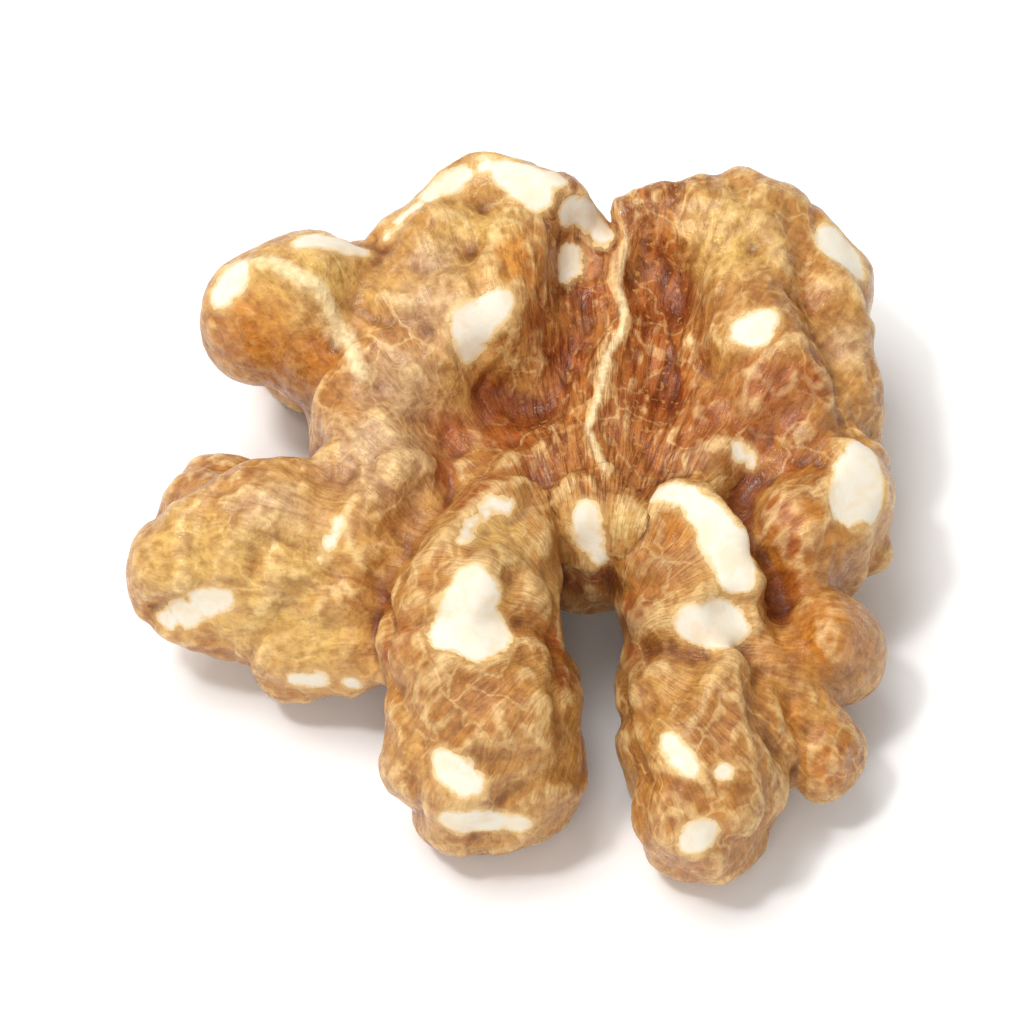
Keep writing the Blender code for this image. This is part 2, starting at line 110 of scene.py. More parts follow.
# Ridges and grooves of the outer face: (height, half width, places (x, y) along it), in millimetres. A
# groove's height is negative.
OUTER_LINES = {
    "midline": (0.55, 0.33, [(4.6, 15.0), (4.7, 11.0), (4.4, 7.6), (3.8, 4.9), (3.1, 2.4), (3.3, -0.4)]),
    "left_of_midline": (-0.5, 1.0, [(2.9, 12.6), (2.6, 7.4), (0.8, 3.2)]),
    "right_of_midline": (-0.5, 1.0, [(6.2, 12.4), (6.3, 6.8), (5.8, 2.4)]),
    "pit": (-0.9, 1.3, [(0.3, 5.0), (-1.0, 4.3)]),
    "knob_split": (-0.45, 0.35, [(3.75, -1.2), (3.55, -2.4), (3.4, -4.0)]),
    "left_leg_arch": (0.5, 0.5, [(-2.6, -4.4), (-2.0, -2.9), (-1.2, -1.7), (0.2, -0.9), (1.8, -1.2)]),
    "left_leg_brow": (0.35, 1.0, [(-3.4, -6.0), (-1.4, -6.4), (0.8, -6.0)]),
    "left_leg_step": (-0.6, 0.6, [(-5.2, -7.0), (-3.2, -8.0), (-1.0, -8.1), (1.6, -7.4)]),
    "left_leg_side": (-0.5, 0.9, [(-4.2, -1.2), (-5.4, -4.0), (-6.0, -6.4)]),
    "right_leg_arch": (0.8, 0.8, [(5.6, -1.6), (6.9, -0.6), (8.3, -1.8), (9.3, -4.2)]),
    "right_leg_brow": (0.3, 0.9, [(6.6, -6.0), (9.0, -6.0)]),
    "right_leg_step": (-0.6, 0.6, [(5.2, -7.4), (7.2, -7.9), (9.4, -7.2)]),
    "right_leg_notch": (-1.0, 0.8, [(9.4, 0.8), (10.2, -1.6), (10.9, -4.0)]),
    "tail_side": (-0.7, 0.5, [(9.0, -5.6), (9.9, -8.4), (10.8, -11.0)]),
    "ball_side": (-0.5, 0.5, [(11.2, -4.8), (12.8, -7.2), (14.0, -8.2)]),
    "high_finger_seam": (0.35, 0.35, [(-11.8, 9.9), (-9.6, 8.4), (-7.0, 6.7), (-6.3, 4.6)]),
    "high_finger_root": (-0.5, 0.9, [(-6.4, 11.4), (-6.6, 8.8), (-7.4, 6.8)]),
    "left_dome_side": (-0.45, 1.0, [(-5.6, 7.2), (-5.0, 4.4), (-2.8, 2.4)]),
    "finger_root": (-0.4, 0.8, [(-6.6, 1.6), (-7.6, -1.0), (-7.4, -3.6)]),
    "low_finger_crease": (-0.45, 0.6, [(-8.2, -3.0), (-10.6, -3.4), (-12.0, -4.6)]),
    "shoulder_side": (-0.5, 0.7, [(10.4, 2.6), (12.4, 3.6), (14.6, 3.6)]),
}

# The worn patches: rows of rounds (across, up, radius) in millimetres, measured in the front view from 55
# degrees above, with 0, 0 at the middle of the floor under the kernel.
VIEW_ELEVATION = math.radians(55)
WORN_PATCHES = {
    "rim": [(-0.4, 18.3, 0.5), (0.5, 17.9, 0.9), (1.3, 17.2, 0.5), (1.9, 18.0, 0.5)],
    "rim_edge": [
        (-5.3, 15.6, 0.12), (-4.9, 16.1, 0.15), (-4.5, 16.5, 0.18), (-4.1, 16.8, 0.18), (-3.7, 17.1, 0.2),
        (-3.3, 17.4, 0.22), (-2.8, 17.7, 0.22), (-2.4, 17.9, 0.25), (-1.9, 18.2, 0.28), (-1.2, 18.5, 0.32),
    ],
    "beside_rim": [(2.8, 16.5, 0.6), (3.4, 16.1, 0.65), (4.0, 15.6, 0.45)],
    "crest_top": [(2.8, 14.7, 0.35), (2.6, 14.2, 0.35), (2.4, 13.7, 0.25)],
    "left_crest": [(-0.9, 12.2, 0.7), (-1.5, 11.3, 0.9), (-1.7, 10.2, 0.4)],
    "high_finger_tip": [(-12.5, 12.8, 0.4), (-12.0, 13.4, 0.55), (-11.6, 13.9, 0.45)],
    "high_finger_top": [(-8.9, 15.2, 0.35), (-8.0, 15.4, 0.6), (-7.1, 15.4, 0.6), (-6.2, 15.0, 0.35)],
    "right_top_edge": [(13.6, 15.7, 0.6), (14.1, 15.1, 1.0), (14.7, 14.5, 0.7)],
    "right_crest": [(9.3, 11.5, 0.4), (9.9, 11.5, 0.7), (10.6, 12.1, 0.35)],
    "notch_spot": [(9.5, 6.5, 0.15), (9.7, 6.1, 0.2), (9.9, 5.7, 0.12)],
    "shoulder": [
        (14.9, 6.5, 0.65), (14.8, 5.7, 0.95), (14.6, 4.8, 1.05), (14.2, 4.1, 0.85), (15.2, 3.9, 0.6),
    ],
    "right_arch": [
        (5.6, 4.7, 0.3), (6.3, 4.9, 0.4), (7.0, 4.6, 0.55), (7.7, 3.9, 0.7), (8.3, 3.1, 0.85),
        (8.9, 2.2, 0.95), (9.2, 1.6, 0.8),
    ],
    "right_leg": [(7.5, -1.0, 0.75), (8.3, -0.95, 0.95), (9.1, -0.85, 0.8)],
    "knob": [(2.8, 3.9, 0.4), (3.0, 3.1, 0.5), (3.3, 2.3, 0.4), (3.6, 1.6, 0.3)],
    "left_arch": [
        (-1.9, 2.8, 0.08), (-1.7, 3.1, 0.1), (-1.45, 3.4, 0.12), (-1.2, 3.65, 0.14), (-0.9, 3.9, 0.16),
        (-0.6, 4.1, 0.18), (-0.3, 4.25, 0.2), (0.0, 4.3, 0.15),
    ],
    "left_leg": [
        (-1.2, 1.0, 0.7), (-0.8, 0.4, 0.7), (-1.5, -0.2, 1.1), (-2.6, -1.0, 0.8), (-1.6, -1.2, 0.8),
        (-0.6, -1.0, 0.8),
    ],
    "left_leg_low": [(-3.0, -6.5, 0.4), (-2.4, -6.9, 0.65), (-1.7, -7.4, 0.5)],
    "left_leg_tip": [(-2.6, -8.9, 0.5), (-1.7, -9.1, 0.7), (-0.8, -9.1, 0.7), (0.2, -9.2, 0.4)],
    "right_leg_spot": [(6.3, -5.2, 0.35), (6.8, -5.8, 0.4), (7.1, -6.4, 0.25)],
    "right_leg_fleck": [(8.6, -6.4, 0.3)],
    "right_leg_tip": [(7.0, -9.8, 0.4), (7.6, -9.6, 0.5), (8.1, -9.3, 0.35)],
    "low_finger": [(-14.4, -0.8, 0.4), (-13.7, -0.5, 0.6), (-12.8, -0.2, 0.65), (-12.0, 0.0, 0.4)],
    "low_finger_front": [(-8.9, -3.4, 0.35), (-8.4, -3.45, 0.35), (-7.9, -3.35, 0.35)],
    "left_flank": [
        (-7.3, 3.6, 0.02), (-7.4, 3.2, 0.08), (-7.5, 2.8, 0.1), (-7.65, 2.4, 0.05), (-7.8, 2.0, 0.0),
    ],
}

# The worn patches that the front view doesn't show: rounds (x, y, z, radius), each on the skin nearest to
# its place.
WORN_BEHIND = {
    "left_top_rear": [(-2.2, 18.0, 7.9, 0.8), (-1.2, 18.0, 8.4, 0.9), (-0.3, 18.0, 8.2, 0.6)],
    "right_top_rear": [(8.6, 17.5, 8.6, 0.7), (9.6, 17.3, 8.1, 0.9), (10.5, 17.0, 7.2, 0.6)],
    "rear_rim": [(3.4, 18.0, 4.4, 0.5), (4.3, 18.0, 4.1, 0.4)],
    "rear_left_foot": [(-11.8, 14.6, 3.8, 0.8), (-11.0, 15.2, 4.2, 0.6)],
    "rear_right_foot": [(13.0, 14.0, 3.0, 0.6)],
    "right_edge": [(17.0, 9.4, 6.8, 0.7), (17.0, 8.4, 6.9, 0.8), (17.0, 7.4, 6.5, 0.5)],
    "right_hem": [(17.0, 3.2, 3.6, 0.6), (17.0, 2.4, 3.2, 0.5)],
    "high_finger_rear": [(-11.5, 13.5, 8.2, 0.7), (-10.6, 13.6, 8.0, 0.5)],
    "low_finger_side": [(-17.0, -2.2, 4.6, 0.7), (-17.0, -3.0, 3.9, 0.6)],
    "low_finger_rear": [(-12.4, 5.0, 4.6, 0.5)],
    "left_leg_side": [(-7.0, -9.6, 4.6, 0.5), (-7.0, -8.8, 4.2, 0.4)],
    "inner_folds": [
        (-2.8, 5.8, 0.0, 0.7), (8.6, 5.0, 0.0, 0.8), (8.4, 4.0, 0.0, 0.5), (3.0, 14.0, 0.0, 0.6),
    ],
}

# The skin's tints, as rounds in the front view: golden, orange, greyish and darker brown folds, and the
# red-brown valley and furrows.
# The golden on the up-facing tops is partly painted light, and one golden round on the ball's front is a
# painted highlight; the orange on lower and cleft-facing sides and in hollows, and the red and brown in the
# cleft between the legs, are partly painted shade.
TINTED_AREAS = {
    "golden": [
        (-7.7, 13.8, 2.4), (-10.8, 13.8, 1.6), (-13.2, 1.8, 2.2), (-10.8, -0.6, 2.6), (-8.9, 1.8, 2.0),
        (-8.4, -1.6, 1.8), (-11.2, 2.4, 1.8), (-2.0, 14.8, 1.6), (-1.2, 16.0, 2.0), (9.1, 15.7, 2.6),
        (-0.2, 3.0, 1.5), (4.3, 3.5, 0.7), (13.3, -0.4, 0.8),
    ],
    "orange": [
        (-10.8, 10.7, 2.2), (13.0, -1.6, 2.4), (11.5, 4.0, 1.5), (0.5, 14.5, 1.4), (1.9, -1.8, 1.5),
        (6.2, 3.0, 0.9), (7.9, -8.0, 1.0), (-8.0, 10.0, 1.2), (11.0, 1.6, 1.2), (-1.6, -0.2, 1.0),
        (5.4, 1.4, 1.0), (12.6, 5.4, 1.0), (11.4, -4.4, 0.9), (13.4, -6.6, 1.2),
    ],
    "greyish": [
        (-5.5, 6.6, 2.6), (-5.0, 8.8, 2.0), (-9.6, 4.4, 1.5), (-3.6, 12.6, 1.8), (-3.4, 14.4, 1.2),
        (14.2, 11.0, 1.3),
    ],
    "brown": [
        (7.9, -4.4, 1.4), (9.6, -6.8, 1.4), (7.4, -7.4, 1.2), (12.2, 5.2, 1.3), (2.2, -2.6, 0.9),
        (12.2, 12.2, 1.4), (13.0, 9.8, 1.0), (-2.2, -6.4, 1.4), (7.6, -4.0, 1.0), (-3.6, -3.0, 1.2),
        (13.7, -3.2, 1.1), (11.5, -2.6, 1.0), (5.6, 1.6, 1.0), (2.3, -4.8, 0.9), (4.7, -5.6, 0.8),
        (4.6, -3.6, 0.8), (-4.6, 11.3, 0.7),
    ],
    "red": [
        (6.2, 8.8, 2.4), (6.0, 12.1, 1.6), (0.0, 7.3, 2.0), (2.4, 10.2, 1.6), (-1.2, 5.4, 1.4),
        (8.4, 7.8, 1.8), (-0.8, 8.6, 1.2), (-2.4, 7.2, 1.2), (-2.6, 5.7, 1.0), (-1.8, 4.6, 0.9),
        (0.9, 5.4, 1.2), (10.6, 4.0, 0.9), (9.8, 7.0, 1.6), (11.6, 7.4, 1.2), (-5.0, -1.2, 1.0),
        (-5.4, -2.2, 0.7), (13.7, -6.6, 0.8), (2.5, 0.6, 0.8), (2.4, -1.4, 0.8), (2.4, -3.0, 0.8),
        (4.5, 0.2, 0.7), (4.6, -1.8, 0.6), (3.7, 0.8, 0.9), (3.0, 13.0, 1.0), (10.6, 8.6, 2.0),
        (12.6, 9.0, 1.3), (11.0, 2.4, 0.9), (11.2, 0.8, 0.9), (1.4, 11.8, 1.2), (6.4, 14.6, 1.0),
        (5.0, -0.4, 0.8), (11.6, 6.0, 0.8), (-0.9, 8.9, 1.0),
    ],
}

# How finely the balls are made, and the squares of the fused skin.
BALL_SUBDIVISIONS = 3
VOXEL_MM = 0.195


def add_hull(target, balls):
    """Adds the skin stretched tight over some balls."""
    hull = bmesh.new()
    for x, y, z, radius in balls:
        made = bmesh.ops.create_icosphere(hull, subdivisions=BALL_SUBDIVISIONS, radius=radius * MM)
        bmesh.ops.translate(hull, verts=made["verts"], vec=(x * MM, y * MM, z * MM))
    found = bmesh.ops.convex_hull(hull, input=hull.verts)
    buried = {e for e in found["geom_interior"] + found["geom_unused"] if isinstance(e, bmesh.types.BMVert)}
    bmesh.ops.delete(hull, geom=list(buried), context="VERTS")
    mesh = bpy.data.meshes.new("hull")
    hull.to_mesh(mesh)
    hull.free()
    target.from_mesh(mesh)
    bpy.data.meshes.remove(mesh)


def fused_lobes():
    """All lobes fused into one closed skin of even squares."""
    lobes = bmesh.new()
    for balls in SLABS.values():
        add_hull(lobes, balls)
    for balls in FOLDS.values():
        for pair in zip(balls, balls[1:]):
            add_hull(lobes, pair)
    mesh = bpy.data.meshes.new("lobes")
    lobes.to_mesh(mesh)
    lobes.free()
    holder = bpy.data.objects.new("lobes", mesh)
    bpy.context.scene.collection.objects.link(holder)
    remesh = holder.modifiers.new("Fuse", "REMESH")
    remesh.mode = "VOXEL"
    remesh.voxel_size = VOXEL_MM * MM
    graph = bpy.context.evaluated_depsgraph_get()
    fused = bpy.data.meshes.new_from_object(holder.evaluated_get(graph))
    bpy.data.objects.remove(holder)
    return fused


def points_of(mesh):
    flat = np.empty(len(mesh.vertices) * 3, np.float32)
    mesh.vertices.foreach_get("co", flat)
    return flat.reshape(-1, 3).astype(float) / MM


def set_points(mesh, points):
    mesh.vertices.foreach_set("co", (points * MM).astype(np.float32).ravel())
    mesh.update()


def normals_of(mesh):
    flat = np.empty(len(mesh.vertices) * 3, np.float32)
    mesh.vertices.foreach_get("normal", flat)
    return flat.reshape(-1, 3).astype(float)


def edges_of(mesh):
    flat = np.empty(len(mesh.edges) * 2, np.int32)
    mesh.edges.foreach_get("vertices", flat)
    return flat.reshape(-1, 2)


def smoothed(points, edges, rounds):
    """Moves every point halfway to the middle of its neighbours, a number of times."""
    first, second = edges.T
    size = len(points)
    neighbours = np.bincount(edges.ravel(), minlength=size)
    for _ in range(rounds):
        sums = [
            np.bincount(first, axis[second], size) + np.bincount(second, axis[first], size)
            for axis in points.T
        ]
        points = 0.5 * (points + np.stack(sums, 1) / neighbours[:, None])
    return points


WAVE_COUNT = 28


def waves(points, spacing, seed):
    """A smooth wandering value around 0 that changes its sign every half spacing or so."""
    chance = np.random.default_rng(seed)
    directions = chance.normal(size=(WAVE_COUNT, 3))
    directions /= np.linalg.norm(directions, axis=1)[:, None]
    phases = chance.uniform(0, 2 * np.pi, WAVE_COUNT)
    crests = np.cos(points @ directions.T * (2 * np.pi / spacing) + phases)
    return crests.sum(1) * np.sqrt(2 / WAVE_COUNT)


def bent(points, spacing, amount, seed):
    """The points pushed about by waves, so that straight lines and round forms turn natural."""
    return points + amount * np.stack([waves(points, spacing, seed + axis) for axis in range(3)], 1)


def ramp(low, high, value):
    """A value's soft way from low to high, as a share from 0 to 1."""
    share = np.clip((value - low) / (high - low), 0, 1)
    return share * share * (3 - 2 * share)


def distance_to_line(points, places):
    """How far each point lies, seen from above, from the line through some places."""
    nearest = np.full(len(points), np.inf)
    for start, end in zip(np.array(places), np.array(places)[1:]):
        along = end - start
        share = np.clip((points[:, :2] - start) @ along / (along @ along), 0, 1)
        gap = points[:, :2] - start - share[:, None] * along
        nearest = np.minimum(nearest, np.linalg.norm(gap, axis=1))
    return nearest


VALLEY_MIDDLE_X = 4.2
VALLEY_HALF_WIDTH_MM = 3.4
VALLEY_FRONT_END = (-3, 1)
VALLEY_HEIGHTS = (5.5, 7.5)


def valley_share(points):
    """1 in the sunken middle of the outer face, falling to 0 outside it."""
    x, y, z = points.T
    across = np.exp(-(((x - VALLEY_MIDDLE_X) / VALLEY_HALF_WIDTH_MM) ** 2))
    return across * ramp(*VALLEY_FRONT_END, y) * ramp(*VALLEY_HEIGHTS, z)


def smooth_share(points):
    """1 on the two smooth, swollen lobes, falling to 0 past them."""
    share = np.zeros(len(points))
    for x, y, z, radius in SMOOTH_LOBES:
        distance = np.linalg.norm(points - (x, y, z), axis=1)
        share = np.maximum(share, ramp(radius + SMOOTH_LOBE_EDGE_MM, radius, distance))
    return share


def folded_lines(points, bend, spacing, softness, seed):
    """1 along a net of wandering lines, falling to 0 between them."""
    return np.exp(-np.abs(waves(bent(points, *bend), spacing, seed)) / softness)


# The nets of furrows between the folds and of creases on them, the lumps, and how the ridges wander. Every
# bend is (spacing, amount, seed).
FURROW_MM = 0.50
FURROW_SPACING_MM = 7.2
FURROW_SOFTNESS = 0.24
FURROW_BEND = (7.0, 0.7, 41)
FURROW_SEED = 51
CREASE_MM = 0.28
CREASE_SPACING_MM = 3.6
CREASE_SOFTNESS = 0.28
CREASE_BEND = (3.0, 0.3, 61)
CREASE_SEED = 71
DEPTH_LIMIT_MM = 0.8  # crossing lines come near to this depth, and never past it
STEEP_GAIN = 1.3  # how much deeper the lines are on steep sides
ROUGH_AREAS = (11.0, 151)  # spacing and seed of the areas that have creases
LUMP_MM = 0.12
LUMP_SPACING_MM = 2.8
LUMP_BEND = (4.0, 0.4, 31)
LUMP_SEED = 35
SKIN_LIFT_MM = 0.24
LINE_BEND = (4.0, 0.25, 91)
FLOOR_FADE = (0.2, 1.6)  # heights between which the relief grows from nothing, so that the feet stay flat


def relief_height(points, normals):
    """How far the skin stands out at each point: the furrows between the folds, creases and ridges."""
    valley = valley_share(points)
    rough = ramp(-0.9, 0.7, waves(points, *ROUGH_AREAS))
    furrows = folded_lines(points, FURROW_BEND, FURROW_SPACING_MM, FURROW_SOFTNESS, FURROW_SEED)
    creases = folded_lines(points, CREASE_BEND, CREASE_SPACING_MM, CREASE_SOFTNESS, CREASE_SEED)
    steep = 1 - ramp(0.2, 0.6, np.abs(normals[:, 2]))
    marked = 1 - SMOOTH_LOBE_LOSS * smooth_share(points)
    net = FURROW_MM * furrows * (1 - 0.8 * valley) + CREASE_MM * creases * rough
    net *= 1 + STEEP_GAIN * steep
    height = SKIN_LIFT_MM - DEPTH_LIMIT_MM * (1 - np.exp(-net / DEPTH_LIMIT_MM)) * marked
    lumps = waves(bent(points, *LUMP_BEND), LUMP_SPACING_MM, LUMP_SEED)
    height += LUMP_MM * lumps * (1 - 0.6 * valley) * marked
    facing_up = ramp(0.0, 0.5, normals[:, 2])
    wandering = bent(points, *LINE_BEND)
    for line_height, half_width, places in OUTER_LINES.values():
        beside = distance_to_line(wandering, places) / half_width
        height += line_height * facing_up * np.exp(-(beside ** 2))
    return height * ramp(*FLOOR_FADE, points[:, 2])


WRINKLE_MM = 0.045
WRINKLE_LIFT_MM = 0.02
WRINKLE_SPACING_MM = 1.7
WRINKLE_SOFTNESS = 0.3
WRINKLE_BEND = (1.8, 0.2, 101)
WRINKLE_SEED = 111
RIB_MM = 0.06
RIBS_PER_RADIAN = 105
FAN_ROOT = (3.6, -7.0)  # the place in the cleft from which the ribs fan out


def fan_angle(points):
    return np.arctan2(points[:, 0] - FAN_ROOT[0], points[:, 1] - FAN_ROOT[1])


def fine_relief(points):
    """The skin's small wrinkles, and the ribs that fan out over the valley from the cleft."""
    wrinkles = folded_lines(points, WRINKLE_BEND, WRINKLE_SPACING_MM, WRINKLE_SOFTNESS, WRINKLE_SEED)
    wrinkles = wrinkles + 0.8 * np.abs(waves(points, 1.1, 131))
    across = fan_angle(points) + 0.012 * waves(points, 3.0, 121)
    ribs = np.cos(across * RIBS_PER_RADIAN) * valley_share(points)
    height = WRINKLE_LIFT_MM - WRINKLE_MM * wrinkles + RIB_MM * ribs
    return height * ramp(*FLOOR_FADE, points[:, 2])


# The half is levelled on the three lobes near these places, and whatever lies lowest is worn flat.
FEET = [(-1.5, -9.0), (-8.8, 11.4), (10.4, 10.4)]
FOOT_REACH_MM = 3.5
FOOT_WEAR_MM = 0.2


def lowest_near(points, place):
    """The lowest point of the lobe over a place on the floor."""
    near = points[np.linalg.norm(points[:, :2] - place, axis=1) < FOOT_REACH_MM]
    return near[near[:, 2].argmin()]


def fitted(points):
    """The points set on three worn feet and brought to the half's real size."""
    for _ in range(3):
        touching = np.array([lowest_near(points, place) for place in FEET])
        slope_x, slope_y, lift = np.linalg.solve(np.c_[touching[:, :2], np.ones(3)], touching[:, 2])
        points[:, 2] -= slope_x * points[:, 0] + slope_y * points[:, 1] + lift
    low, high = points.min(0), points.max(0)
    share = (points - low) / (high - low)
    points[:, :2] = (kernel_low + share * (kernel_high - kernel_low))[:, :2]
    points[:, 2] = points[:, 2] * (kernel_high[2] + FOOT_WEAR_MM) / high[2] - FOOT_WEAR_MM
    points[:, 2] = np.maximum(points[:, 2], kernel_low[2])
    return points


SAME_PLACE_MM = 0.25


def seen_place(points, across, up):
    """The point of the skin that the front view shows at a place."""
    y, z = points[:, 1], points[:, 2]
    seen_up = y * math.sin(VIEW_ELEVATION) + z * math.cos(VIEW_ELEVATION)
    nearness = z * math.sin(VIEW_ELEVATION) - y * math.cos(VIEW_ELEVATION)
    off = np.hypot(points[:, 0] - across, seen_up - up)
    return np.where(off < off.min() + SAME_PLACE_MM, nearness, -np.inf).argmax()


def nearest_place(points, *place):
    return np.linalg.norm(points - place, axis=1).argmin()


WEAR_DEPTH = 1 / 6  # a patch is planed this deep, times its radius squared
PLANED_EDGE_MM = 0.35
BARE_EDGE_MM = 0.12
MERGE_MM = 0.22  # how softly the rounds of a patch flow into each other


def wear_patch(points, normals, rounds):
    """Planes a worn patch down, and returns how far inside its edge each point lies."""
    nearness = np.zeros(len(points))
    for number, radius in rounds:
        off = points - points[number]
        distance = np.linalg.norm(off, axis=1)
        facing = normals[distance < radius + 0.4].mean(0)
        facing /= np.linalg.norm(facing)
        proud = off @ facing + radius ** 2 * WEAR_DEPTH
        points -= np.outer(np.maximum(proud, 0) * ramp(radius + PLANED_EDGE_MM, radius, distance), facing)
        nearness += np.exp(np.minimum((radius + BARE_EDGE_MM - distance) / MERGE_MM, 40))
    return MERGE_MM * np.log(nearness + 1e-9)


def tinted(points, rounds):
    """How much of a tint lies on each point: 1 in the middle of its rounds, fading out past their edges."""
    share = np.zeros(len(points))
    for across, up, radius in rounds:
        distance = np.linalg.norm(points - points[seen_place(points, across, up)], axis=1)
        share = np.maximum(share, np.exp(-((distance / radius) ** 2)))
    return share


def store(mesh, name, values):
    """Keeps a value for each point of the mesh, under a name that the skin's finish reads."""
    mesh.attributes.new(name, "FLOAT", "POINT").data.foreach_set("value", values.astype(np.float32))


# The lobes grow together, and the nut's own irregular growth bends them: (spacing, amount, seed).
ROUNDING_MM2 = 0.45
GROWTH_BENDS = [(12.0, 0.30, 11), (5.0, 0.12, 21)]
kernel_mesh = fused_lobes()
edges = edges_of(kernel_mesh)
points = smoothed(points_of(kernel_mesh), edges, int(round(ROUNDING_MM2 / VOXEL_MM ** 2)))
for growth_bend in GROWTH_BENDS:
    points = bent(points, *growth_bend)
set_points(kernel_mesh, points)

# The furrows, creases and ridges, with the pits where furrows cross partly closed by the flesh.
PIT_MM = 0.13
PIT_CLOSED_SHARE = 0.7
normals = normals_of(kernel_mesh)
points = points + normals * relief_height(points, normals)[:, None]
points = smoothed(points, edges, 3)
sunk = ((smoothed(points, edges, 30) - points) * normals).sum(1)
points += normals * (PIT_CLOSED_SHARE * np.maximum(sunk - PIT_MM, 0))[:, None]
points = smoothed(points, edges, 1)
valley = valley_share(points)
smooth = smooth_share(points)
wandering = bent(points, *LINE_BEND)
set_points(kernel_mesh, points)
points = points + normals_of(kernel_mesh) * fine_relief(points)[:, None]
points = fitted(points)
set_points(kernel_mesh, points)

# The worn patches are planed down and smoothed.
normals = normals_of(kernel_mesh)
bare = np.full(len(points), -9.0)
for table, find_place in ((WORN_PATCHES, seen_place), (WORN_BEHIND, nearest_place)):
    for rounds in table.values():
        found = [(find_place(points, *place), radius) for *place, radius in rounds]
        bare = np.maximum(bare, wear_patch(points, normals, found))
points += (smoothed(points, edges, 12) - points) * ramp(-0.1, 0.3, bare)[:, None]
points = smoothed(points, edges, 1)
points[:, 2] = np.maximum(points[:, 2], kernel_low[2])
set_points(kernel_mesh, points)

# What the skin's colours follow: hollows of three sizes, where shade is painted, found by so many rounds of
# smoothing, the pale lines with their half widths and strengths, the tints, and the fan of the valley's
# fibres.
HOLLOW_SIZES = {"small_hollow": 8, "hollow": 60, "deep_hollow": 500}
PALE_LINES = {"midline": (0.20, 0.85), "high_finger_seam": (0.50, 0.75)}
PALE_AT_REAR = 0.45
REAR_FADE = (14.0, 10.0)
FAN_STRETCH = 14
normals = normals_of(kernel_mesh)
for name, rounds in HOLLOW_SIZES.items():
    store(kernel_mesh, name, ((smoothed(points, edges, rounds) - points) * normals).sum(1))
vein = np.zeros(len(points))
for name, (half_width, strength) in PALE_LINES.items():
    distance = distance_to_line(wandering, OUTER_LINES[name][2])
    vein = np.maximum(vein, strength * np.exp(-((distance / half_width) ** 2)))
vein *= PALE_AT_REAR + (1 - PALE_AT_REAR) * ramp(*REAR_FADE, wandering[:, 1])
vein *= ramp(0.1, 0.5, normals[:, 2])
store(kernel_mesh, "vein", vein)
store(kernel_mesh, "valley", valley)
store(kernel_mesh, "smooth", smooth)
store(kernel_mesh, "bare", bare)
for tint, rounds in TINTED_AREAS.items():
    store(kernel_mesh, tint, tinted(points, rounds))
store(kernel_mesh, "fan", fan_angle(points) * FAN_STRETCH)
store(kernel_mesh, "reach", np.hypot(points[:, 0] - FAN_ROOT[0], points[:, 1] - FAN_ROOT[1]))
for polygon in kernel_mesh.polygons:
    polygon.use_smooth = True


def add_node(tree, kind, settings=None, inputs=None):
    """A new node with its settings, and its inputs set to values or joined to other nodes' outputs."""
    made = tree.nodes.new(kind)
    for name, value in (settings or {}).items():
        setattr(made, name, value)
    for name, value in (inputs or {}).items():
        if isinstance(value, bpy.types.NodeSocket):
            tree.links.new(value, made.inputs[name])
        else:
            made.inputs[name].default_value = value
    return made


def attribute(tree, name):
    """A value that the mesh keeps for each of its points."""
    return add_node(tree, "ShaderNodeAttribute", {"attribute_name": name}).outputs["Fac"]


def noise(tree, place, size_mm, detail=2.0, roughness=0.5, distortion=0.0):
    """Cloudy patches of about a size, as a number from 0 to 1."""
    inputs = {"Vector": place, "Scale": 1 / size_mm, "Detail": detail, "Roughness": roughness}
    inputs["Distortion"] = distortion
    return add_node(tree, "ShaderNodeTexNoise", inputs=inputs).outputs["Fac"]


def between(tree, value, low, high, result_low=0.0, result_high=1.0):
    """A value's soft way from low to high, as a number from result_low to result_high."""
    inputs = {"Value": value, "From Min": low, "From Max": high}
    inputs.update({"To Min": result_low, "To Max": result_high})
    settings = {"interpolation_type": "SMOOTHSTEP"}
    return add_node(tree, "ShaderNodeMapRange", settings, inputs).outputs["Result"]


def calculate(tree, operation, *values):
    return add_node(tree, "ShaderNodeMath", {"operation": operation}, dict(enumerate(values))).outputs[0]


def times(tree, first, second):
    return calculate(tree, "MULTIPLY", first, second)


def blend_numbers(tree, share, first, second):
    """The first number turning into the second as the share goes from 0 to 1."""
    inputs = {0: share, 2: first, 3: second}
    return add_node(tree, "ShaderNodeMix", {"data_type": "FLOAT"}, inputs).outputs[0]


def blend_colours(tree, share, first, second, how="MIX"):
    """The first colour turning into the second as the share goes from 0 to 1."""
    made = add_node(tree, "ShaderNodeMix", {"data_type": "RGBA", "blend_type": how})
    for socket, value in ((made.inputs[0], share), (made.inputs[6], first), (made.inputs[7], second)):
        if isinstance(value, bpy.types.NodeSocket):
            tree.links.new(value, socket)
        else:
            socket.default_value = value
    return made.outputs[2]


TAN_SKIN = (0.445, 0.190, 0.043, 1)
LIGHT_SKIN = (0.545, 0.278, 0.072, 1)
TINTS = {
    "golden": (0.65, 0.41, 0.12, 1),
    "orange": (0.56, 0.200, 0.022, 1),
    "greyish": (0.54, 0.34, 0.175, 1),
    "brown": (0.36, 0.150, 0.034, 1),
    "red": (0.335, 0.076, 0.011, 1),
}
MOTTLED_SKIN = (0.37, 0.148, 0.048, 1)
# Painted shade for the hollows.
HOLLOW_SHADE_RED_BROWN = (0.24, 0.055, 0.009, 1)
# Painted shade for the small creases.
CREASE_SHADE_DARK = (0.07, 0.016, 0.003, 1)
PALE_VEIN = (0.86, 0.62, 0.28, 1)
DARK_SPECK = (0.50, 0.34, 0.22, 1)
# The light specks are partly painted glints.
LIGHT_SPECK_AND_GLINT = (1.28, 1.36, 1.42, 1)
PALE_LINE = (0.88, 0.70, 0.40, 1)
MEAT = (0.80, 0.73, 0.60, 1)
MEAT_EDGE = (0.74, 0.50, 0.22, 1)

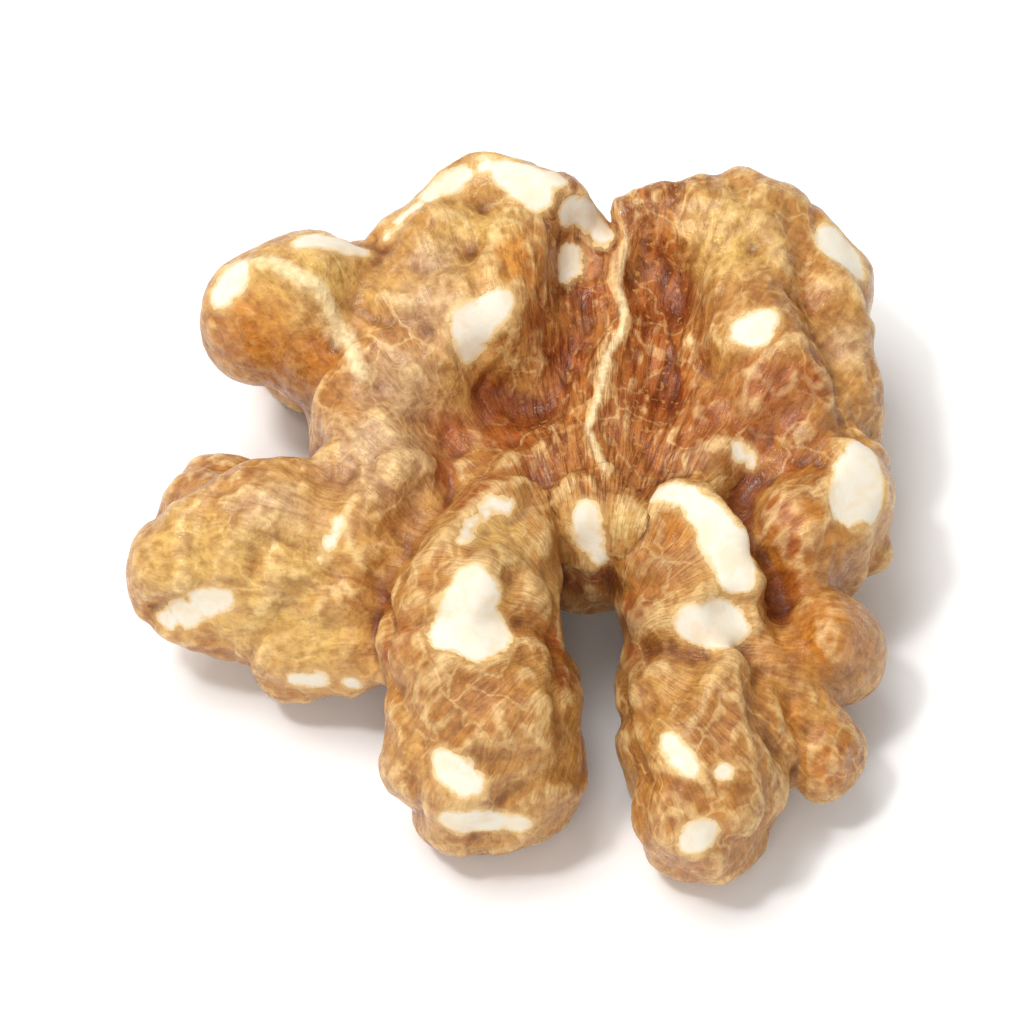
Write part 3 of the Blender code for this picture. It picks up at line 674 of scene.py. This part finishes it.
# Sizes of the skin's markings in millimetres.
PATCH_MM = 4.5
VEIN_NET_MM = 2.3
VEIN_WANDER_MM = 2.4
MOTTLE_MM = 1.3
GRAIN_MM = 0.45
FLECK_MM = 0.32
BUMP_MM = 0.30
MEAT_ROUGHNESS = 0.75


def pale_veins(tree, place, patches):
    """How pale the net of fine veins makes the skin: patchy, and faint on the two smooth lobes."""
    clouds = add_node(tree, "ShaderNodeTexNoise", inputs={"Vector": place, "Scale": 0.6}).outputs["Color"]
    wander = {0: clouds, 1: (VEIN_WANDER_MM,) * 3, 2: place}
    net_place = add_node(tree, "ShaderNodeVectorMath", {"operation": "MULTIPLY_ADD"}, wander).outputs[0]
    net = add_node(tree, "ShaderNodeTexVoronoi", {"feature": "DISTANCE_TO_EDGE"}, {
        "Vector": net_place, "Scale": 1 / VEIN_NET_MM,
    }).outputs["Distance"]
    veined = times(tree, between(tree, net, 0.055, 0.012), between(tree, patches, 0.62, 0.42))
    return times(tree, veined, between(tree, attribute(tree, "smooth"), 0.0, 0.8, 0.30, 0.05))


def skin_finish():
    """The papery skin with its tints, veins, specks and pale lines, painted shade in its hollows and
    painted glints among its light specks, and the meat in the worn patches.
    """
    material = bpy.data.materials.new("walnut_skin_and_meat")
    material.use_nodes = True
    tree = material.node_tree
    shader = tree.nodes["Principled BSDF"]
    place = add_node(tree, "ShaderNodeTexCoord").outputs["Object"]
    in_mm = add_node(tree, "ShaderNodeVectorMath", {"operation": "SCALE"}, {
        0: place, "Scale": 1 / MM,
    }).outputs[0]
    along_fibres = add_node(tree, "ShaderNodeCombineXYZ", inputs={
        "X": times(tree, attribute(tree, "fan"), 2.6),
        "Y": times(tree, attribute(tree, "reach"), 0.55),
        "Z": add_node(tree, "ShaderNodeSeparateXYZ", inputs={"Vector": in_mm}).outputs["Z"],
    }).outputs[0]
    fibres = noise(tree, along_fibres, 1.0, 4.0, 0.68, 0.8)
    patches = noise(tree, in_mm, PATCH_MM, 3.0, 0.55)
    mottle = noise(tree, in_mm, MOTTLE_MM, 3.0, 0.62, 0.5)
    grain = noise(tree, in_mm, GRAIN_MM, 3.0, 0.65)
    valley = attribute(tree, "valley")

    # Tan skin in lighter and darker patches, with the tints (partly painted light and shade), the mottling
    # and the veins over them.
    skin = blend_colours(tree, between(tree, patches, 0.38, 0.62), TAN_SKIN, LIGHT_SKIN)
    for tint, colour in TINTS.items():
        ragged_tint = times(tree, attribute(tree, tint), between(tree, mottle, 0.2, 0.8, 0.6, 1.4))
        skin = blend_colours(tree, between(tree, ragged_tint, 0.0, 1.0, 0.0, 0.9), skin, colour)
    skin = blend_colours(tree, between(tree, valley, 0.15, 0.75, 0.0, 0.6), skin, TINTS["red"])
    skin = blend_colours(tree, between(tree, mottle, 0.42, 0.74, 0.0, 0.6), skin, MOTTLED_SKIN)
    skin = blend_colours(tree, pale_veins(tree, in_mm, patches), skin, PALE_VEIN)

    # Painted shade darkens the hollows, less so in the valley, and the small creases; sharp folds are
    # paler.
    outside_valley = between(tree, valley, 0.45, 0.9, 1.0, 0.3)
    for name, shading in (("hollow", (0.05, 0.36, 0.0, 0.72)), ("deep_hollow", (0.45, 0.95, 0.0, 0.9))):
        shaded = times(tree, between(tree, attribute(tree, name), *shading), outside_valley)
        skin = blend_colours(tree, shaded, skin, HOLLOW_SHADE_RED_BROWN)
    small_hollow = attribute(tree, "small_hollow")
    # Painted shade in the small creases.
    skin = blend_colours(tree, between(tree, small_hollow, 0.012, 0.12, 0.0, 0.52), skin, CREASE_SHADE_DARK)
    skin = blend_colours(tree, between(tree, small_hollow, -0.010, -0.06, 0.0, 0.45), skin, PALE_VEIN)

    # Specks on the folds and streaks along the fibres in the valley, whose light parts are partly painted
    # glints, then light flecks and the pale lines.
    streaked = between(tree, valley, 0.0, 0.6, 0.55, 0.9)
    texture = blend_numbers(tree, streaked, grain, fibres)
    specks_and_glints = blend_colours(tree, between(tree, texture, 0.36, 0.64), LIGHT_SPECK_AND_GLINT, DARK_SPECK)
    speck_strength = between(tree, valley, 0.0, 0.6, 0.6, 1.0)
    skin = blend_colours(tree, speck_strength, skin, specks_and_glints, "MULTIPLY")
    flecks = between(tree, noise(tree, in_mm, FLECK_MM), 0.60, 0.70, 0.0, 0.6)
    flecks = times(tree, flecks, between(tree, valley, 0.1, 0.6, 0.2, 1.0))
    skin = blend_colours(tree, flecks, skin, LIGHT_SKIN)
    broken_line = times(tree, attribute(tree, "vein"), between(tree, grain, 0.40, 0.58, 1.0, 0.72))
    skin = blend_colours(tree, between(tree, broken_line, 0.15, 0.8, 0.0, 0.9), skin, PALE_LINE)

    # The worn patches have ragged edges, and the meat in them turns yellower towards the skin.
    ragged = calculate(tree, "ADD", attribute(tree, "bare"), between(tree, mottle, 0.3, 0.7, -0.12, 0.12))
    ragged = calculate(tree, "ADD", ragged, between(tree, grain, 0.3, 0.7, -0.05, 0.05))
    worn = between(tree, ragged, -0.02, 0.02)
    skin = blend_colours(tree, between(tree, ragged, -0.3, 0.0, 0.0, 0.4), skin, MEAT_EDGE)
    meat = blend_colours(tree, between(tree, ragged, 0.0, 0.24), MEAT_EDGE, MEAT)
    meat = blend_colours(tree, between(tree, mottle, 0.44, 0.66, 0.0, 0.30), meat, MEAT_EDGE)
    tree.links.new(blend_colours(tree, worn, skin, meat), shader.inputs["Base Color"])

    # The skin is satin and finely wrinkled, the meat matt and nearly even.
    skin_roughness = between(tree, mottle, 0.3, 0.7, 0.20, 0.42)
    tree.links.new(blend_numbers(tree, worn, skin_roughness, MEAT_ROUGHNESS), shader.inputs["Roughness"])
    skin_height = calculate(tree, "SUBTRACT", times(tree, mottle, -0.6), times(tree, texture, 0.55))
    meat_height = calculate(tree, "MULTIPLY_ADD", grain, 0.10, -0.65)
    height = blend_numbers(tree, worn, skin_height, meat_height)
    bump = add_node(tree, "ShaderNodeBump", inputs={
        "Height": height, "Strength": 0.85, "Distance": BUMP_MM * MM,
    })
    tree.links.new(bump.outputs["Normal"], shader.inputs["Normal"])
    shader.inputs["Subsurface Weight"].default_value = 0.10
    shader.inputs["Subsurface Radius"].default_value = (1.0, 0.45, 0.2)
    shader.inputs["Subsurface Scale"].default_value = 1.0 * MM
    shader.inputs["Specular IOR Level"].default_value = 0.3
    return material


kernel_mesh.materials.clear()
kernel_mesh.materials.append(skin_finish())
kernel_half = bpy.data.objects.new("kernel_half", kernel_mesh)
bpy.context.scene.collection.objects.link(kernel_half)
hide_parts("kernel")
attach(kernel_half, "root")

# The table top is a plain white board, much larger than the view, with a matt painted finish.
TABLE_SIDE = 4.0
bpy.ops.mesh.primitive_plane_add(size=TABLE_SIDE)
table_top = bpy.context.object
table_top.name = "table_top"
white_paint = bpy.data.materials.new("white_paint")
white_paint.use_nodes = True
paint_shader = white_paint.node_tree.nodes["Principled BSDF"]
paint_shader.inputs["Base Color"].default_value = (0.93, 0.93, 0.925, 1)
paint_shader.inputs["Roughness"].default_value = 0.85
table_top.data.materials.append(white_paint)

# The light is a white tent all round, with a soft box high on the left and behind, a weaker one in front
# that lights the legs, and a small one on the left that puts the bright flecks on the skin.
bpy.context.scene.view_settings.view_transform = "Standard"
tent = bpy.data.worlds.new("white_tent")
bpy.context.scene.world = tent
tent.use_nodes = True
tent.node_tree.nodes["Background"].inputs["Color"].default_value = (1, 1, 1, 1)
tent.node_tree.nodes["Background"].inputs["Strength"].default_value = 0.465


def add_soft_box(name, place, size, watts):
    """A square soft box at a place, turned towards the kernel."""
    light = bpy.data.lights.new(name, "AREA")
    light.shape = "SQUARE"
    light.size = size
    light.energy = watts
    box = bpy.data.objects.new(name, light)
    bpy.context.scene.collection.objects.link(box)
    box.location = place
    box.rotation_euler = (-Vector(place)).to_track_quat("-Z", "Y").to_euler()


add_soft_box("overhead_box", (-0.16, 0.10, 0.50), 0.30, 1.8)
add_soft_box("front_box", (-0.06, -0.42, 0.34), 0.30, 0.8)
add_soft_box("small_box", (-0.18, -0.06, 0.46), 0.06, 0.8)

# The camera stands in front of the legs and looks down on the kernel at 55 degrees with a long lens.
VIEW_WIDTH = 0.0425
LENS = 250
SENSOR = 36
camera = bpy.data.objects.new("camera", bpy.data.cameras.new("camera"))
bpy.context.scene.collection.objects.link(camera)
camera.data.lens = LENS
camera.data.sensor_width = SENSOR
camera.data.clip_start = 0.01
back = Vector((0, -math.cos(VIEW_ELEVATION), math.sin(VIEW_ELEVATION)))
camera.location = Vector((0, 0, kernel_high[2] / 2 * MM)) + back * VIEW_WIDTH * LENS / SENSOR
camera.rotation_euler = (-back).to_track_quat("-Z", "Y").to_euler()
bpy.context.scene.camera = camera
